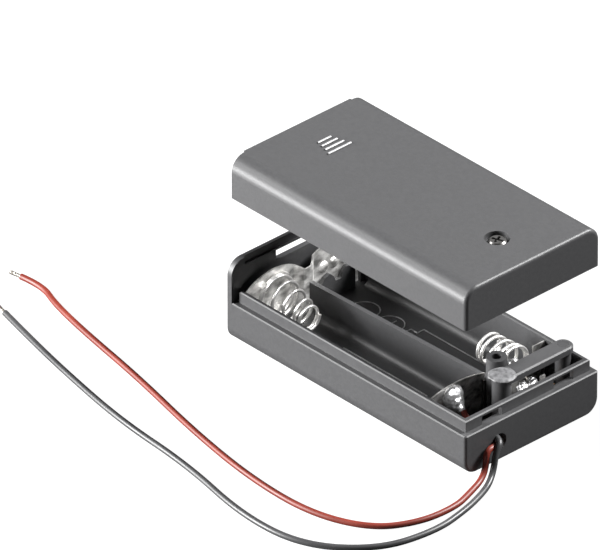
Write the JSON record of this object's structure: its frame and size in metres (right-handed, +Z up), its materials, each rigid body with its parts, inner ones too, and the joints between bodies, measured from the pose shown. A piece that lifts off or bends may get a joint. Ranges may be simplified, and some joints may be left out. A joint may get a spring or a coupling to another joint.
{
  "type": "cylindrical cell holder",
  "caption": "Closed black box for side by side cylindrical cells, with lift-off screwed lid, coil spring and plate contacts, slide switch in the underside, and red and black leads.",
  "frame": {"origin": "middle of the box footprint, at the level of the switch knob's tip below the underside", "axes": "+X along the box towards the lead end, +Y across the box away from the lead hole's side, +Z up to the lid"},
  "size_m": [0.1271, 0.0765, 0.0449],
  "materials": {
    "black_plastic": "satin",
    "melted_plastic": "rough",
    "knob_plastic": "satin",
    "board_brown": "matte",
    "nickel_plate": "bright",
    "spring_wire": "bright",
    "screw_metal": "satin",
    "solder": "satin",
    "tinned_wire": "satin",
    "red_insulation": "gloss",
    "black_insulation": "gloss"
  },
  "bodies": {
    "base": {"base_tray": "black_plastic", "series_plate": "nickel_plate", "series_spring": "spring_wire", "positive_plate": "nickel_plate", "negative_plate": "nickel_plate", "negative_spring": "spring_wire", "switch_frame": "nickel_plate", "switch_board": "board_brown", "terminal_near": "nickel_plate", "terminal_middle": "nickel_plate", "terminal_far": "nickel_plate", "clamp_bar": "black_plastic", "stake_head": "melted_plastic", "red_lead": "red_insulation", "red_tip": "tinned_wire", "red_core": "tinned_wire", "black_lead": "black_insulation", "black_tip": "tinned_wire", "link_wire": "tinned_wire", "positive_joint": "solder", "negative_joint": "solder", "near_joint": "solder", "middle_joint": "solder"},
    "lid": {"lid": "black_plastic"},
    "screw": {"lid_screw": "screw_metal"},
    "slider": {"switch_slider": "knob_plastic", "contact_clip": "nickel_plate"}
  },
  "joints": [
    {"name": "lid_lift", "type": "slide", "parent": "base", "child": "lid", "axis": [0, 0, 1], "range_m": [-0.0245, 0]},
    {"name": "screw_turn", "type": "hinge", "parent": "lid", "child": "screw", "pos_m": [0.02405, 0, 0.04], "axis": [0, 0, 1], "continuous": true},
    {"name": "switch_slide", "type": "slide", "parent": "base", "child": "slider", "axis": [0, 1, 0], "range_m": [-0.003, 0]}
  ]
}
